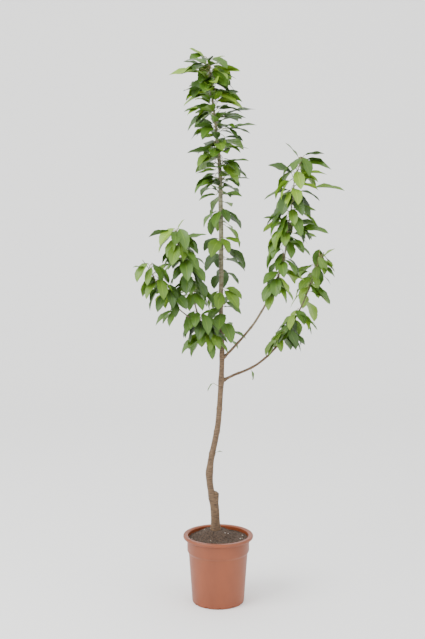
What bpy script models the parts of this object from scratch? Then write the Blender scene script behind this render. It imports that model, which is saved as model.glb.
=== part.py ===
"""Potted sweet cherry tree: a young grafted tree with a leader and three side boughs in a round nursery pot.

Metres, +Z up. The origin is the centre of the pot's flat underside.
+X is to the right and +Y is away from the viewer.
"""
import math
import random

import bmesh
import bpy
from mathutils import Quaternion, Vector

# Points on a smooth route between two bends
CURVE_POINTS = 12

# Clearances
GAP = 0.0003
SOIL_GAP = 0.0005

# Pot
POT_HEIGHT = 0.216
RIM_RADIUS = 0.110
BASE_RADIUS = 0.0815
WALL = 0.0025
FLOOR = 0.003
WALL_TOP_RADIUS = 0.0925
COLLAR_RADIUS = 0.0975
STEP_LOW = 0.156
STEP_HIGH = 0.168
COLLAR_DRAFT = 0.03
LIP_HEIGHT = 0.010
LIP_ROUNDING = 0.002
FOOT_ROUNDING = 0.004
FOOT_FILLET = 0.003
POT_SIDES = 32
NOTCHES = 12
NOTCH_WIDTH = 0.010
NOTCH_HEIGHT = 0.005
NOTCH_DEPTH = 0.008
NOTCH_UNDERCUT = 0.002
NOTCH_FIRST = 0.13

# Soil
SOIL_EDGE_HEIGHT = 0.205
SOIL_RINGS = 5
MOUND_HEIGHT = 0.2215
MOUND_FLAT_RADIUS = 0.024
MOUND_RADIUS = 0.075
CLOD_HEIGHT = 0.0016
CLOD_WAVES = (230.0, 190.0)
CLOD_SHIFTS = (1.0, 0.6)
CLOD_EDGE_FADE = 8.0

# Trunk: the bends that its middle line passes through, from the soil to the tip
TRUNK_SIDES = 12
TRUNK_STEPS = 28
TRUNK_BENDS = [
    (-0.0090, 0.0300, MOUND_HEIGHT + GAP),
    (-0.0095, 0.0290, 0.270),
    (-0.0125, 0.0280, 0.305),
    (-0.0195, 0.0280, 0.335),
    (-0.0260, 0.0270, 0.367),
    (-0.0280, 0.0260, 0.403),
    (-0.0250, 0.0255, 0.433),
    (-0.0195, 0.0250, 0.464),
    (-0.0065, 0.0235, 0.528),
    (0.0020, 0.0220, 0.592),
    (0.0090, 0.0200, 0.703),
    (0.0115, 0.0180, 0.800),
    (0.0080, 0.0155, 0.925),
    (0.0088, 0.0125, 1.070),
    (0.0075, 0.0095, 1.215),
    (0.0035, 0.0065, 1.365),
    (-0.0105, 0.0035, 1.500),
    (-0.0240, 0.0013, 1.607),
    (-0.0265, 0.0003, 1.655),
]
ROOTSTOCK_RADIUS = 0.0138
SCION_RADIUS = 0.0104
LEADER_RADIUS = 0.0070
TIP_RADIUS = 0.0022
UNION_HEIGHT = 0.345
UNION_LENGTH = 0.02
LEADER_HEIGHT = 0.88
LEADER_THINS_FROM = 1.24
TRUNK_TOP = 1.655

# Swellings on the trunk: height, added radius, spread
ROOT_FLARE = (0.2215, 0.0030, 0.020)
GRAFT_KNUCKLE = (0.408, 0.0020, 0.022)
LOWER_COLLAR = (0.700, 0.0016, 0.016)
UPPER_COLLAR = (0.780, 0.0010, 0.014)

# Cut stub of the rootstock beside the graft
STUB_FOOT = (-0.0105, 0.0285, 0.285)
STUB_HEAD = (-0.0068, 0.0290, 0.352)
STUB_RADIUS = 0.0098
STUB_CUT_POINT = (-0.0068, 0.0290, 0.341)
STUB_CUT_TILT = 38
STUB_STEPS = 3

# How far a cutter starts before the foot of the trunk, and of a limb as a share of its first step
CUTTER_LEAD = 0.01
LIMB_CUTTER_LEAD = 0.02

# Side limbs: bends of the middle line, radius at the foot and at the end, added radius at the foot
LIMB_SIDES = 8
SWELLING_SPREAD = 0.016
LOWER_RIGHT_BOUGH = {
    "bends": [
        (0.009, 0.020, 0.699), (0.046, 0.0385, 0.7145), (0.110, 0.070, 0.737), (0.1625, 0.0965, 0.773),
        (0.2095, 0.120, 0.825), (0.2595, 0.145, 0.9055), (0.288, 0.1595, 0.966), (0.298, 0.164, 0.990),
    ],
    "radii": (0.0045, 0.0022), "swelling": 0.0030, "steps": 15,
}
UPPER_RIGHT_BOUGH = {
    "bends": [
        (0.011, 0.018, 0.768), (0.063, 0.0065, 0.8245), (0.115, -0.005, 0.8915), (0.161, -0.015, 0.978),
        (0.198, -0.023, 1.080), (0.209, -0.0255, 1.170), (0.2235, -0.0285, 1.263), (0.227, -0.0295, 1.290),
    ],
    "radii": (0.0042, 0.0020), "swelling": 0.0022, "steps": 16,
}
LEFT_BOUGH = {
    "bends": [
        (0.0115, 0.0175, 0.796), (-0.001, 0.0015, 0.8165), (-0.0255, -0.017, 0.841), (-0.050, -0.035, 0.8755),
        (-0.0725, -0.052, 0.9535), (-0.0885, -0.064, 1.030), (-0.106, -0.077, 1.083),
    ],
    "radii": (0.0036, 0.0019), "swelling": 0.0012, "steps": 12,
}
LEFT_SIDE_SHOOT = {
    "bends": [
        (-0.054, -0.038, 0.889), (-0.086, -0.052, 0.906), (-0.125, -0.0675, 0.940), (-0.140, -0.073, 0.959),
    ],
    "radii": (0.0022, 0.0016), "swelling": 0.0, "steps": 6,
}

# Leaf masses
LOBE_THICKNESS = 0.015
LOBE_WIDTH_SHARE = 0.45
LOBE_WIDTH_LEAST = 0.026
LOBE_END = 0.004
LOBE_SLIMMING = 0.22
LOBE_STEEP = 0.2
LEAST_REACH = 0.86
LEAST_ROLL = 0.6
LIFT_JITTER = 0.008
SHOOT_STEPS = 8
LEAF_TURN = math.radians(137.5)
VOXEL = 0.0055
MASS_FACES = 330


def clear_scene():
    """Remove every object from the scene."""
    for item in list(bpy.data.objects):
        bpy.data.objects.remove(item, do_unlink=True)


def finish(name, colour, roughness):
    """Principled material with one colour."""
    made = bpy.data.materials.new(name)
    made.use_nodes = True
    shader = made.node_tree.nodes["Principled BSDF"]
    shader.inputs["Base Color"].default_value = (*colour, 1.0)
    shader.inputs["Roughness"].default_value = roughness
    shader.inputs["Metallic"].default_value = 0.0
    return made


def new_object(name, mesh, material=None):
    """Object for a finished mesh."""
    made = bpy.data.objects.new(name, mesh)
    bpy.context.scene.collection.objects.link(made)
    if material is not None:
        mesh.materials.append(material)
    return made


def mesh_from(name, vertices, faces):
    """Mesh from points and faces, with its normals pointing out."""
    mesh = bpy.data.meshes.new(name)
    mesh.from_pydata(vertices, [], faces)
    work = bmesh.new()
    work.from_mesh(mesh)
    bmesh.ops.recalc_face_normals(work, faces=work.faces)
    work.to_mesh(mesh)
    work.free()
    return mesh


def shade(item, angle=40.0):
    """Smooth shading with sharp edges above an angle."""
    item.data.shade_smooth()
    item.data.set_sharp_from_angle(angle=math.radians(angle))


def make_cutter(item):
    """Hide an object that only cuts or joins another."""
    item.hide_render = True
    item.display_type = "WIRE"
    return item


def boolean(item, other, operation):
    """Live boolean on an object."""
    step = item.modifiers.new(operation.lower() + "_" + other.name, "BOOLEAN")
    step.operation = operation
    step.solver = "EXACT"
    step.object = other


def smooth_route(bends, steps):
    """Points on a Catmull-Rom curve through the bends, evenly spread over its length."""
    bends = [Vector(bend) for bend in bends]
    ends = [bends[0] * 2 - bends[1]] + bends + [bends[-1] * 2 - bends[-2]]
    fine = []
    for a, b, c, d in zip(ends, ends[1:], ends[2:], ends[3:]):
        for k in range(CURVE_POINTS):
            t = k / CURVE_POINTS
            fine.append(0.5 * (2 * b + (c - a) * t + (2 * a - 5 * b + 4 * c - d) * t * t
                               + (3 * b - a - 3 * c + d) * t ** 3))
    fine.append(bends[-1])
    lengths = [0.0]
    for first, second in zip(fine, fine[1:]):
        lengths.append(lengths[-1] + (second - first).length)
    route = []
    for k in range(steps + 1):
        wanted = lengths[-1] * k / steps
        i = max(j for j in range(len(fine) - 1) if lengths[j] <= wanted + 1e-9)
        share = (wanted - lengths[i]) / (lengths[i + 1] - lengths[i])
        route.append(fine[i].lerp(fine[i + 1], min(share, 1.0)))
    return route


def tube_mesh(name, route, radii, sides, level_foot=False):
    """Closed tapering limb: a ring of points across the route at each step, with flat ends."""
    vertices = []
    faces = []
    count = len(route)
    across = Vector((0.0, -1.0, 0.0))
    for k, (point, radius) in enumerate(zip(route, radii)):
        along = (route[min(k + 1, count - 1)] - route[max(k - 1, 0)]).normalized()
        if k == 0 and level_foot:
            along = Vector((0.0, 0.0, 1.0))
        across = (across - along * across.dot(along)).normalized()
        sideways = along.cross(across)
        for s in range(sides):
            turn = 2 * math.pi * s / sides
            vertices.append(point + (across * math.cos(turn) + sideways * math.sin(turn)) * radius)
    for k in range(count - 1):
        for s in range(sides):
            t = (s + 1) % sides
            faces.append((k * sides + s, k * sides + t, (k + 1) * sides + t, (k + 1) * sides + s))
    faces.append(tuple(range(sides - 1, -1, -1)))
    faces.append(tuple((count - 1) * sides + s for s in range(sides)))
    return mesh_from(name, vertices, faces)


def turned_mesh(name, profile, sides):
    """Closed round body from a profile of (radius, height) points that starts and ends on the axis."""
    vertices = [Vector((0.0, 0.0, profile[0][1]))]
    faces = []
    rings = []
    for radius, height in profile[1:-1]:
        rings.append(len(vertices))
        for s in range(sides):
            turn = 2 * math.pi * s / sides
            vertices.append(Vector((radius * math.cos(turn), radius * math.sin(turn), height)))
    last = len(vertices)
    vertices.append(Vector((0.0, 0.0, profile[-1][1])))
    for s in range(sides):
        t = (s + 1) % sides
        faces.append((0, rings[0] + t, rings[0] + s))
        faces.append((last, rings[-1] + s, rings[-1] + t))
        for low, high in zip(rings, rings[1:]):
            faces.append((low + s, low + t, high + t, high + s))
    return mesh_from(name, vertices, faces)


def wall_radius(height):
    """Outer radius of the pot's wall below the lip, at a height."""
    if height <= STEP_LOW:
        return BASE_RADIUS + (WALL_TOP_RADIUS - BASE_RADIUS) * height / STEP_LOW
    if height >= STEP_HIGH:
        return COLLAR_RADIUS + COLLAR_DRAFT * (height - STEP_HIGH)
    share = (height - STEP_LOW) / (STEP_HIGH - STEP_LOW)
    return WALL_TOP_RADIUS + (COLLAR_RADIUS - WALL_TOP_RADIUS) * share * share * (3 - 2 * share)


WALL_HEIGHTS = [0.010, 0.080, STEP_LOW, (STEP_LOW + STEP_HIGH) / 2, STEP_HIGH]


def build_pot():
    """Pot: turned cup with a rounded foot, a stepped collar and a rolled lip, notched round the foot."""
    lip_low = POT_HEIGHT - LIP_HEIGHT
    collar_top = wall_radius(lip_low)
    outside = [(0.0, 0.0), (BASE_RADIUS - FOOT_ROUNDING, 0.0)]
    for degrees in (30, 60):
        turn = math.radians(degrees)
        in_from_wall = FOOT_ROUNDING * (1 - math.sin(turn))
        outside.append((BASE_RADIUS - in_from_wall, FOOT_ROUNDING * (1 - math.cos(turn))))
    outside += [(wall_radius(height), height) for height in WALL_HEIGHTS]
    outside += [(collar_top, lip_low), (RIM_RADIUS - LIP_ROUNDING, lip_low)]
    outside += [(RIM_RADIUS, lip_low + LIP_ROUNDING)]
    outside += [(RIM_RADIUS, POT_HEIGHT - LIP_ROUNDING), (RIM_RADIUS - LIP_ROUNDING, POT_HEIGHT)]
    inside = [(collar_top, POT_HEIGHT), (collar_top - WALL, POT_HEIGHT - WALL)]
    inside += [(wall_radius(height) - WALL, height) for height in reversed(WALL_HEIGHTS)]
    inside += [(BASE_RADIUS - WALL - FOOT_FILLET, FLOOR), (0.0, FLOOR)]
    mesh = turned_mesh("pot", outside + inside, POT_SIDES)
    pot = new_object("pot", mesh, finish("terracotta plastic", (0.34, 0.14, 0.07), 0.55))
    shade(pot, 30.0)
    cutter_mesh = bpy.data.meshes.new("notch_cutter")
    work = bmesh.new()
    for k in range(NOTCHES):
        turn = 2 * math.pi * (k + NOTCH_FIRST) / NOTCHES
        cube = bmesh.ops.create_cube(work, size=1.0)
        for vertex in cube["verts"]:
            out = BASE_RADIUS + vertex.co.x * NOTCH_DEPTH
            side = vertex.co.y * NOTCH_WIDTH
            vertex.co = Vector((
                out * math.cos(turn) - side * math.sin(turn),
                out * math.sin(turn) + side * math.cos(turn),
                (NOTCH_HEIGHT - NOTCH_UNDERCUT) * 0.5 + vertex.co.z * (NOTCH_HEIGHT + NOTCH_UNDERCUT)))
    work.to_mesh(cutter_mesh)
    work.free()
    boolean(pot, make_cutter(new_object("notch_cutter", cutter_mesh)), "DIFFERENCE")


def soil_height(x, y):
    """Height of the soil: a low mound round the trunk's foot, with shallow clods."""
    foot_x, foot_y = TRUNK_BENDS[0][:2]
    away = math.hypot(x - foot_x, y - foot_y)
    if away <= MOUND_FLAT_RADIUS:
        return MOUND_HEIGHT
    share = min(1.0, (away - MOUND_FLAT_RADIUS) / (MOUND_RADIUS - MOUND_FLAT_RADIUS))
    fall = share * share * (3 - 2 * share)
    clods = CLOD_HEIGHT * math.sin(CLOD_WAVES[0] * x + CLOD_SHIFTS[0]) * fall
    clods *= math.sin(CLOD_WAVES[1] * y + CLOD_SHIFTS[1])
    edge = max(0.0, 1.0 - math.hypot(x, y) / (COLLAR_RADIUS - WALL))
    return MOUND_HEIGHT + (SOIL_EDGE_HEIGHT - MOUND_HEIGHT) * fall + clods * min(1.0, CLOD_EDGE_FADE * edge)


def build_soil():
    """Soil: fills the pot to just below the rim, and rises a little round the trunk."""
    profile = [(0.0, FLOOR + SOIL_GAP), (BASE_RADIUS - WALL - FOOT_FILLET - 2 * SOIL_GAP, FLOOR + SOIL_GAP)]
    profile += [(wall_radius(height) - WALL - SOIL_GAP, height) for height in WALL_HEIGHTS]
    edge_radius = wall_radius(SOIL_EDGE_HEIGHT) - WALL - SOIL_GAP
    profile.append((edge_radius, SOIL_EDGE_HEIGHT))
    rings_in = [edge_radius * k / (SOIL_RINGS + 1) for k in range(SOIL_RINGS, 0, -1)]
    profile += [(radius, SOIL_EDGE_HEIGHT) for radius in rings_in] + [(0.0, SOIL_EDGE_HEIGHT)]
    mesh = turned_mesh("soil", profile, POT_SIDES)
    for vertex in mesh.vertices:
        radius = math.hypot(vertex.co.x, vertex.co.y)
        if vertex.co.z > SOIL_EDGE_HEIGHT - 1e-6 and radius < edge_radius - 1e-5:
            vertex.co.z = soil_height(vertex.co.x, vertex.co.y)
    new_object("soil", mesh, finish("bark compost", (0.045, 0.028, 0.018), 0.95))


def swelling(height, bump):
    """Added radius of a round swelling at a height."""
    centre, added, spread = bump
    return added * math.exp(-((height - centre) / spread) ** 2)


def trunk_radius(height):
    """Rootstock, then the thinner scion that tapers to the leader and its tip, with the swellings on them."""
    if height < UNION_HEIGHT:
        radius = ROOTSTOCK_RADIUS
        join = max(0.0, (height - UNION_HEIGHT + UNION_LENGTH) / UNION_LENGTH)
        radius += (SCION_RADIUS - ROOTSTOCK_RADIUS) * join
    elif height < LEADER_HEIGHT:
        share = (height - UNION_HEIGHT) / (LEADER_HEIGHT - UNION_HEIGHT)
        radius = SCION_RADIUS + (LEADER_RADIUS - SCION_RADIUS) * share
    elif height < LEADER_THINS_FROM:
        radius = LEADER_RADIUS
    else:
        share = (height - LEADER_THINS_FROM) / (TRUNK_TOP - LEADER_THINS_FROM)
        radius = LEADER_RADIUS + (TIP_RADIUS - LEADER_RADIUS) * share
    for bump in (ROOT_FLARE, GRAFT_KNUCKLE, LOWER_COLLAR, UPPER_COLLAR):
        radius += swelling(height, bump)
    return radius


def trunk_tube(name, grow):
    """Trunk's tube, made thicker by a clearance for its cutter."""
    route = smooth_route(TRUNK_BENDS, TRUNK_STEPS)
    radii = [trunk_radius(point.z) + grow for point in route]
    if grow:
        route[0] = route[0] - Vector((0.0, 0.0, CUTTER_LEAD))
        route.append(route[-1] + Vector((0.0, 0.0, grow)))
        radii.append(radii[-1])
    return tube_mesh(name, route, radii, TRUNK_SIDES, level_foot=True)


def build_trunk():
    """Trunk: one tapering limb from the flat cut at the soil to its tip, with the rootstock's cut stub."""
    bark = finish("young cherry bark", (0.30, 0.23, 0.15), 0.8)
    trunk = new_object("trunk", trunk_tube("trunk", 0.0), bark)
    shade(trunk)
    stub_route = smooth_route([STUB_FOOT, STUB_HEAD], STUB_STEPS)
    stub_radii = [STUB_RADIUS] * (STUB_STEPS + 1)
    stub = new_object("graft_stub", tube_mesh("graft_stub", stub_route, stub_radii, TRUNK_SIDES))
    work = bmesh.new()
    work.from_mesh(stub.data)
    tilt = math.radians(STUB_CUT_TILT)
    cut = bmesh.ops.bisect_plane(
        work, geom=work.verts[:] + work.edges[:] + work.faces[:], plane_co=STUB_CUT_POINT,
        plane_no=(math.sin(tilt), 0.0, math.cos(tilt)), clear_outer=True)
    cut_edges = [piece for piece in cut["geom_cut"] if isinstance(piece, bmesh.types.BMEdge)]
    bmesh.ops.contextual_create(work, geom=cut_edges)
    work.to_mesh(stub.data)
    work.free()
    boolean(trunk, make_cutter(stub), "UNION")
    clearance = make_cutter(new_object("trunk_clearance", trunk_tube("trunk_clearance", GAP)))
    return trunk, clearance, bark


def build_limb(name, limb, parents, bark):
    """One tapering limb, cut where it meets the limbs that carry it, and the cutter that clears it."""
    route = smooth_route(limb["bends"], limb["steps"])
    foot, end = limb["radii"]
    radii = []
    for k, point in enumerate(route):
        share = k / limb["steps"]
        away = (point - route[0]).length
        bulge = limb["swelling"] * math.exp(-(away / SWELLING_SPREAD) ** 2)
        radii.append(foot + (end - foot) * share + bulge)
    item = new_object(name, tube_mesh(name, route, radii, LIMB_SIDES), bark)
    shade(item)
    for parent in parents:
        boolean(item, parent, "DIFFERENCE")
    wide_route = [route[0] - (route[1] - route[0]) * LIMB_CUTTER_LEAD] + route[1:-1]
    wide_route.append(route[-1] + (route[-1] - route[-2]).normalized() * GAP)
    wide_mesh = tube_mesh(name + "_clearance", wide_route, [radius + GAP for radius in radii], LIMB_SIDES)
    return make_cutter(new_object(name + "_clearance", wide_mesh))


def add_lobe(work, foot, tip, width, roll):
    """Flat pointed egg from the shoot to a leaf tip, rolled about its length by an angle.

    It is longer by what its rounded end loses when the mass gets its skin.
    """
    along = tip - foot
    length = along.length + LOBE_END
    along.normalize()
    sideways = along.cross(Vector((0.0, 0.0, 1.0)))
    if sideways.length < LOBE_STEEP:
        sideways = Vector((1.0, 0.0, 0.0))
    sideways.normalize()
    sideways.rotate(Quaternion(along, roll))
    upward = sideways.cross(along)
    ball = bmesh.ops.create_icosphere(work, subdivisions=2, radius=1.0)
    middle = foot + along * (length * 0.5)
    for vertex in ball["verts"]:
        x, y, z = vertex.co
        slim = 1.0 - LOBE_SLIMMING * x
        vertex.co = (middle + along * (x * length * 0.5) + sideways * (y * slim * width * 0.5)
                     + upward * (z * slim * LOBE_THICKNESS * 0.5))


def reach_at(turn, reach):
    """How far leaves reach in a direction: quarter ellipses between the left, right, front and back reach."""
    left, right, front, back = reach
    x = math.cos(turn)
    y = math.sin(turn)
    wide = right if x > 0 else left
    deep = back if y > 0 else front
    return 1.0 / math.sqrt((x / wide) ** 2 + (y / deep) ** 2)


def build_mass(name, mass, cutters, material):
    """Leaf mass: a core along its shoot and a lobe for each tuft of leaves, set round it leaf by leaf.

    The tufts turn by the same angle one after another. Each reaches as far as the mass does in its
    direction, and its tip dips or lifts by an amount that goes from the mass's foot to its head.
    """
    shoot = smooth_route(mass["shoot"], SHOOT_STEPS)
    tufts = mass["tufts"]
    chance = random.Random(mass["seed"])
    work = bmesh.new()
    core = mass["core"]
    for first, second in zip(shoot, shoot[1:]):
        middle = first.lerp(second, 0.5)
        ball = bmesh.ops.create_icosphere(work, subdivisions=2, radius=core)
        for vertex in ball["verts"]:
            vertex.co += middle
    for k in range(tufts):
        share = (k + 0.5) / tufts
        foot = shoot[round(share * SHOOT_STEPS)]
        turn = mass["first_turn"] + k * LEAF_TURN
        length = reach_at(turn, mass["reach"]) * chance.uniform(LEAST_REACH, 1.0)
        lift = mass["dip"] + (mass["rise"] - mass["dip"]) * share + chance.uniform(-LIFT_JITTER, LIFT_JITTER)
        tip = foot + Vector((length * math.cos(turn), length * math.sin(turn), lift))
        roll = math.copysign(mass["roll"], math.cos(turn)) * chance.uniform(LEAST_ROLL, 1.0)
        add_lobe(work, foot, tip, max(LOBE_WIDTH_LEAST, length * LOBE_WIDTH_SHARE), roll)
    for tip in mass.get("tips", []):
        tip = Vector(tip)
        foot = min(shoot, key=lambda point: (point - tip).length)
        roll = math.copysign(mass["roll"], tip.x - foot.x)
        add_lobe(work, foot, tip, max(LOBE_WIDTH_LEAST, (tip - foot).length * LOBE_WIDTH_SHARE), roll)
    mesh = bpy.data.meshes.new(name)
    work.to_mesh(mesh)
    work.free()
    item = new_object(name, mesh, material)
    skin = item.modifiers.new("one_skin", "REMESH")
    skin.mode = "VOXEL"
    skin.voxel_size = VOXEL
    skin.use_smooth_shade = False
    faceted = item.modifiers.new("facets", "DECIMATE")
    faceted.decimate_type = "COLLAPSE"
    faceted.ratio = faces_share(item)
    for cutter in cutters:
        boolean(item, cutter, "DIFFERENCE")
    return item


def faces_share(item):
    """Share of the skin's triangles to keep, so that each mass has about as many faces as the next."""
    depsgraph = bpy.context.evaluated_depsgraph_get()
    depsgraph.update()
    skin = item.evaluated_get(depsgraph).to_mesh()
    triangles = sum(len(face.vertices) - 2 for face in skin.polygons)
    item.evaluated_get(depsgraph).to_mesh_clear()
    return min(1.0, MASS_FACES / triangles)


# Masses on the leader are cut round the trunk. Reach is left, right, front and back.
LEADER_MASSES = {
    "crown_top_mass": {
        "shoot": [(-0.0205, 0.0020, 1.583), (-0.0265, 0.0005, 1.658)], "reach": (0.100, 0.092, 0.100, 0.100),
        "tufts": 12, "first_turn": 0.3, "dip": -0.030, "rise": 0.022, "core": 0.015, "seed": 3, "roll": 0.5,
        "tips": [
            (-0.088, -0.030, 1.706), (-0.151, 0.020, 1.634), (0.066, -0.015, 1.642), (0.022, 0.030, 1.692),
        ],
    },
    "crown_upper_mass": {
        "shoot": [(-0.0040, 0.0045, 1.455), (-0.0165, 0.0025, 1.545)], "reach": (0.088, 0.110, 0.108, 0.105),
        "tufts": 11, "first_turn": 1.4, "dip": -0.030, "rise": -0.002, "core": 0.015, "seed": 5, "roll": 0.5,
        "tips": [(0.1140, 0.015, 1.532), (0.1160, -0.030, 1.482), (-0.1050, 0.010, 1.524)],
    },
    "crown_lower_mass": {
        "shoot": [(0.0060, 0.0078, 1.296), (-0.0020, 0.0050, 1.420)], "reach": (0.082, 0.090, 0.108, 0.112),
        "tufts": 13, "first_turn": 2.2, "dip": -0.040, "rise": -0.018, "core": 0.015, "seed": 8, "roll": 0.6,
        "tips": [(0.0960, 0.020, 1.324), (0.0930, -0.030, 1.376), (-0.0950, -0.015, 1.400)],
    },
    "leader_upper_leaves": {
        "shoot": [(0.0088, 0.0120, 1.095), (0.0070, 0.0090, 1.240)], "reach": (0.048, 0.080, 0.070, 0.075),
        "tufts": 9, "first_turn": 0.1, "dip": -0.025, "rise": -0.004, "core": 0.0125, "seed": 13, "roll": 0.6,
    },
    "leader_lower_leaves": {
        "shoot": [(0.0108, 0.0170, 0.840), (0.0085, 0.0150, 0.940), (0.0080, 0.0140, 1.020)],
        "reach": (0.034, 0.072, 0.060, 0.070), "tufts": 9, "first_turn": 5.9, "dip": -0.030, "rise": -0.006,
        "core": 0.0130, "seed": 21, "roll": 0.6,
    },
}

# Masses on the left bough and on its side shoot
LEFT_MASSES = {
    "left_top_mass": {
        "shoot": [(-0.1010, -0.0730, 1.075), (-0.1160, -0.0850, 1.120), (-0.1240, -0.0905, 1.160)],
        "reach": (0.055, 0.060, 0.055, 0.040), "tufts": 9, "first_turn": 2.6, "dip": -0.030, "rise": 0.012,
        "core": 0.011, "seed": 34, "roll": 1.1,
        "tips": [(-0.1000, -0.0950, 1.204), (-0.2080, -0.0900, 1.150), (-0.0340, -0.0700, 1.157)],
    },
    "left_middle_mass": {
        "shoot": [(-0.0755, -0.0545, 0.972), (-0.0885, -0.064, 1.035)], "reach": (0.062, 0.052, 0.050, 0.030),
        "tufts": 9, "first_turn": 0.4, "dip": -0.030, "rise": -0.010, "core": 0.012, "seed": 55, "roll": 1.1,
    },
    "left_low_mass": {
        "shoot": [(-0.0330, -0.0220, 0.850), (-0.0530, -0.0370, 0.885), (-0.0600, -0.0430, 0.905)],
        "reach": (0.060, 0.052, 0.050, 0.022), "tufts": 10, "first_turn": 1.0, "dip": -0.052, "rise": -0.012,
        "core": 0.012, "seed": 89, "roll": 1.1,
        "tips": [(-0.0120, -0.0560, 0.930), (-0.0180, -0.0420, 0.776)],
    },
}
LEFT_SIDE_MASSES = {
    "left_side_mass": {
        "shoot": [(-0.1300, -0.0690, 0.946), (-0.1753, -0.0854, 1.000), (-0.2048, -0.0957, 1.053)],
        "reach": (0.048, 0.050, 0.040, 0.034), "tufts": 10, "first_turn": 3.2, "dip": -0.042, "rise": 0.000,
        "core": 0.0115, "seed": 144, "roll": 1.1,
        "tips": [(-0.2540, -0.1200, 1.062), (-0.1450, -0.0600, 1.070)],
    },
}

# Masses on the two right boughs
UPPER_RIGHT_MASSES = {
    "upper_right_top_mass": {
        "shoot": [(0.2240, -0.0288, 1.266), (0.2286, -0.0298, 1.320), (0.2453, -0.0335, 1.368)],
        "reach": (0.075, 0.095, 0.045, 0.045), "tufts": 9, "first_turn": 0.2, "dip": -0.030, "rise": 0.000,
        "core": 0.0115, "seed": 233, "roll": 1.1,
        "tips": [
            (0.198, -0.040, 1.430), (0.378, -0.050, 1.287), (0.148, -0.020, 1.364), (0.342, -0.010, 1.350),
        ],
    },
    "upper_right_middle_mass": {
        "shoot": [(0.2060, -0.0248, 1.145), (0.2190, -0.0276, 1.238)], "reach": (0.070, 0.085, 0.050, 0.040),
        "tufts": 11, "first_turn": 3.0, "dip": -0.048, "rise": -0.020, "core": 0.012,
        "seed": 377, "roll": 1.1,
        "tips": [(0.3300, -0.0600, 1.160), (0.2980, -0.0200, 1.148), (0.1350, -0.0250, 1.206)],
    },
    "upper_right_low_mass": {
        "shoot": [(0.1700, -0.0170, 0.995), (0.1960, -0.0228, 1.072)], "reach": (0.045, 0.062, 0.045, 0.035),
        "tufts": 9, "first_turn": 5.2, "dip": -0.040, "rise": -0.012, "core": 0.012, "seed": 610, "roll": 1.1,
    },
}
LOWER_RIGHT_MASSES = {
    "lower_right_top_mass": {
        "shoot": [(0.2840, 0.1573, 0.955), (0.3040, 0.1675, 1.010), (0.3250, 0.1780, 1.060)],
        "reach": (0.050, 0.056, 0.030, 0.055), "tufts": 10, "first_turn": 0.9, "dip": -0.038, "rise": 0.000,
        "core": 0.012, "seed": 987, "roll": 1.1,
        "tips": [(0.3780, 0.1850, 1.104), (0.3740, 0.2000, 1.045), (0.3350, 0.2350, 1.060)],
    },
    "lower_right_low_mass": {
        "shoot": [(0.1950, 0.1130, 0.807), (0.2240, 0.1275, 0.845), (0.2560, 0.1435, 0.900)],
        "reach": (0.044, 0.060, 0.030, 0.042), "tufts": 10, "first_turn": 4.1, "dip": -0.030, "rise": -0.020,
        "core": 0.0125, "seed": 1597, "roll": 1.1,
        "tips": [(0.3150, 0.1500, 0.860)],
    },
}


def build_masses(masses, cutters, leaf):
    """Build a group of masses that are cut round the same limbs."""
    for name, mass in masses.items():
        build_mass(name, mass, cutters, leaf)


def main():
    clear_scene()
    build_pot()
    build_soil()
    trunk, trunk_clearance, bark = build_trunk()
    lower_right = build_limb("lower_right_bough", LOWER_RIGHT_BOUGH, [trunk_clearance], bark)
    upper_right = build_limb("upper_right_bough", UPPER_RIGHT_BOUGH, [trunk_clearance], bark)
    left = build_limb("left_bough", LEFT_BOUGH, [trunk_clearance], bark)
    left_side = build_limb("left_side_shoot", LEFT_SIDE_SHOOT, [left], bark)
    leaf = finish("cherry leaf", (0.15, 0.24, 0.04), 0.5)
    build_masses(LEADER_MASSES, [trunk_clearance, left, upper_right, lower_right], leaf)
    build_masses(LEFT_MASSES, [left, left_side], leaf)
    build_masses(LEFT_SIDE_MASSES, [left_side], leaf)
    build_masses(UPPER_RIGHT_MASSES, [upper_right], leaf)
    build_masses(LOWER_RIGHT_MASSES, [lower_right], leaf)


main()
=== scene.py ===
import math

import bpy
import numpy as np
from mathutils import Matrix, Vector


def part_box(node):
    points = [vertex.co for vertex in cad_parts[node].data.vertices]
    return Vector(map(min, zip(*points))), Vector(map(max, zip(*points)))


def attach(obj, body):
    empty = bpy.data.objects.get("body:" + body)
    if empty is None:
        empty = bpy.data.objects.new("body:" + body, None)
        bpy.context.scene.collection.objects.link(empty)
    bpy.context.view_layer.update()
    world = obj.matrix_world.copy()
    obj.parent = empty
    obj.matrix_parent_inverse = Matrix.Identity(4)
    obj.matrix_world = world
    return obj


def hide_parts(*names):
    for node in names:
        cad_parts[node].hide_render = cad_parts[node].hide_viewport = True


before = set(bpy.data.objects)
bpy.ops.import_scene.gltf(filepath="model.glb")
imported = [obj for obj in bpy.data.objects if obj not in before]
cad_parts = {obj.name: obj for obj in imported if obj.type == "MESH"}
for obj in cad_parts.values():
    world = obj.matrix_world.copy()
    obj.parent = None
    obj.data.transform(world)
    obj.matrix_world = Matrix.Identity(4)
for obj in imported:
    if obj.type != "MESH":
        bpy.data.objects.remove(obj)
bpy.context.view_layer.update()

bl_info = {
    "name": "Potted Cherry Tree",
    "version": (1, 0, 0),
    "blender": (4, 5, 0),
    "location": "3D View > Sidebar > Tree",
    "description": "Finishes a young cherry tree in its pot: bark, leaves, soil, pot and a plain studio",
    "category": "Object",
}

# Camera, in metres and degrees
CAMERA_PLACE = (-0.018, -3.3, 1.262)
CAMERA_TILT = 83.65
CAMERA_LENS = 60.85
SENSOR_HEIGHT = 36.0

# Floor that bends up into a wall, and the studio's light
FLOOR_FRONT = -9.0
FLOOR_HALF_WIDTH = 12.0
BEND_START = 3.0
BEND_RADIUS = 2.0
WALL_HEIGHT = 9.0
FLOOR_COLOUR = (0.93, 0.93, 0.92, 1.0)
ROOM_STRENGTH = 1.7
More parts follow.
